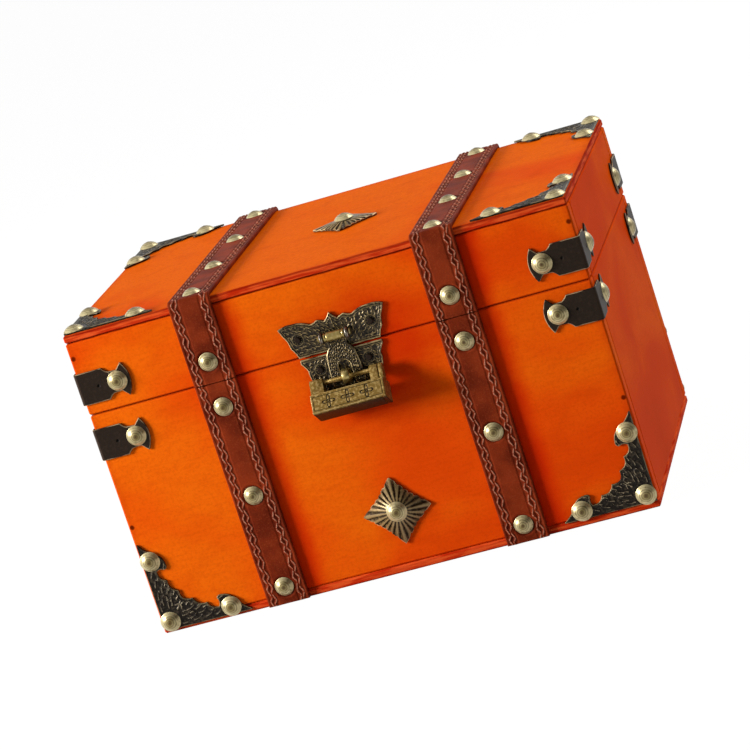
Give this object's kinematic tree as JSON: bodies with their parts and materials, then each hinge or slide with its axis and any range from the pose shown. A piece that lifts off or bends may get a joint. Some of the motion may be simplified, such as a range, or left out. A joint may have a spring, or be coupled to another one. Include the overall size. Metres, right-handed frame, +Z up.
{
  "type": "storage_box",
  "caption": "Small orange-stained wooden box with hinged lid, leather straps, brass tacks, patinated corners, butterfly latch and bar padlock",
  "frame": {"origin": "centre of the underside of the bottom board", "axes": "+X to the right along the front, -Y out of the front, +Z up"},
  "size_m": [0.2474, 0.1889, 0.1534],
  "materials": {
    "wood": "orange-stained and lacquered, fine horizontal grain",
    "leather": "red-brown, stitched along both edges",
    "dark_brass": "patinated nearly black, worn bright at the rims",
    "bright_brass": "worn bright on the domes",
    "aged_brass": "hammered and unevenly darkened",
    "lock_brass": "olive, dull and speckled",
    "steel": "plain"
  },
  "bodies": {
    "box": {"bottom_panel": "wood", "front_panel": "wood", "back_panel": "wood", "left_panel": "wood", "right_panel": "wood", "front_strap_left": "leather", "front_strap_right": "leather", "back_strap_left": "leather", "back_strap_right": "leather", "front_corner_plate_left": "dark_brass", "front_corner_plate_right": "dark_brass", "back_corner_plate_left": "dark_brass", "back_corner_plate_right": "dark_brass", "box_clip_front_left": "dark_brass", "box_clip_front_right": "dark_brass", "box_clip_back_left": "dark_brass", "box_clip_back_right": "dark_brass", "front_medallion": "dark_brass", "front_medallion_tack": "bright_brass", "latch_plate_lower": "aged_brass", "latch_staple": "aged_brass", "latch_brad_lower_left": "aged_brass", "latch_brad_lower_right": "aged_brass", "hinge_leaf_box_left": "aged_brass", "hinge_leaf_box_right": "aged_brass", "hinge_pin_left": "steel", "hinge_pin_right": "steel"},
    "lid": {"lid_top_panel": "wood", "lid_front_panel": "wood", "lid_back_panel": "wood", "lid_left_panel": "wood", "lid_right_panel": "wood", "lid_strap_left": "leather", "lid_strap_right": "leather", "lid_corner_plate_front_left": "dark_brass", "lid_corner_plate_front_right": "dark_brass", "lid_corner_plate_back_left": "dark_brass", "lid_corner_plate_back_right": "dark_brass", "lid_clip_front_left": "dark_brass", "lid_clip_front_right": "dark_brass", "lid_clip_back_left": "dark_brass", "lid_clip_back_right": "dark_brass", "lid_medallion": "dark_brass", "lid_medallion_tack": "bright_brass", "latch_plate_upper": "aged_brass", "hasp_pin": "aged_brass", "latch_brad_upper_left": "aged_brass", "latch_brad_upper_right": "aged_brass", "hinge_leaf_lid_left": "aged_brass", "hinge_leaf_lid_right": "aged_brass"},
    "hasp": {"hasp": "aged_brass"},
    "padlock": {"lock_case": "lock_brass"},
    "shackle": {"lock_shackle": "lock_brass", "lock_springs": "steel"}
  },
  "joints": [
    {"name": "lid_hinge", "type": "hinge", "parent": "box", "child": "lid", "pos_m": [0, 0.0867, 0.1092], "axis": [-1, 0, 0], "range_deg": [0, 135]},
    {"name": "hasp_hinge", "type": "hinge", "parent": "lid", "child": "hasp", "pos_m": [0.0023, -0.0879, 0.1162], "axis": [-1, 0, 0], "range_deg": [0, 165]},
    {"name": "padlock_swing", "type": "hinge", "parent": "box", "child": "padlock", "pos_m": [0.002, -0.0886, 0.0966], "axis": [-1, 0, 0], "range_deg": [0, 110]},
    {"name": "shackle_slide", "type": "slide", "parent": "padlock", "child": "shackle", "axis": [1, 0, 0], "range_m": [0, 0.024], "deforming": ["lock_springs"]}
  ]
}
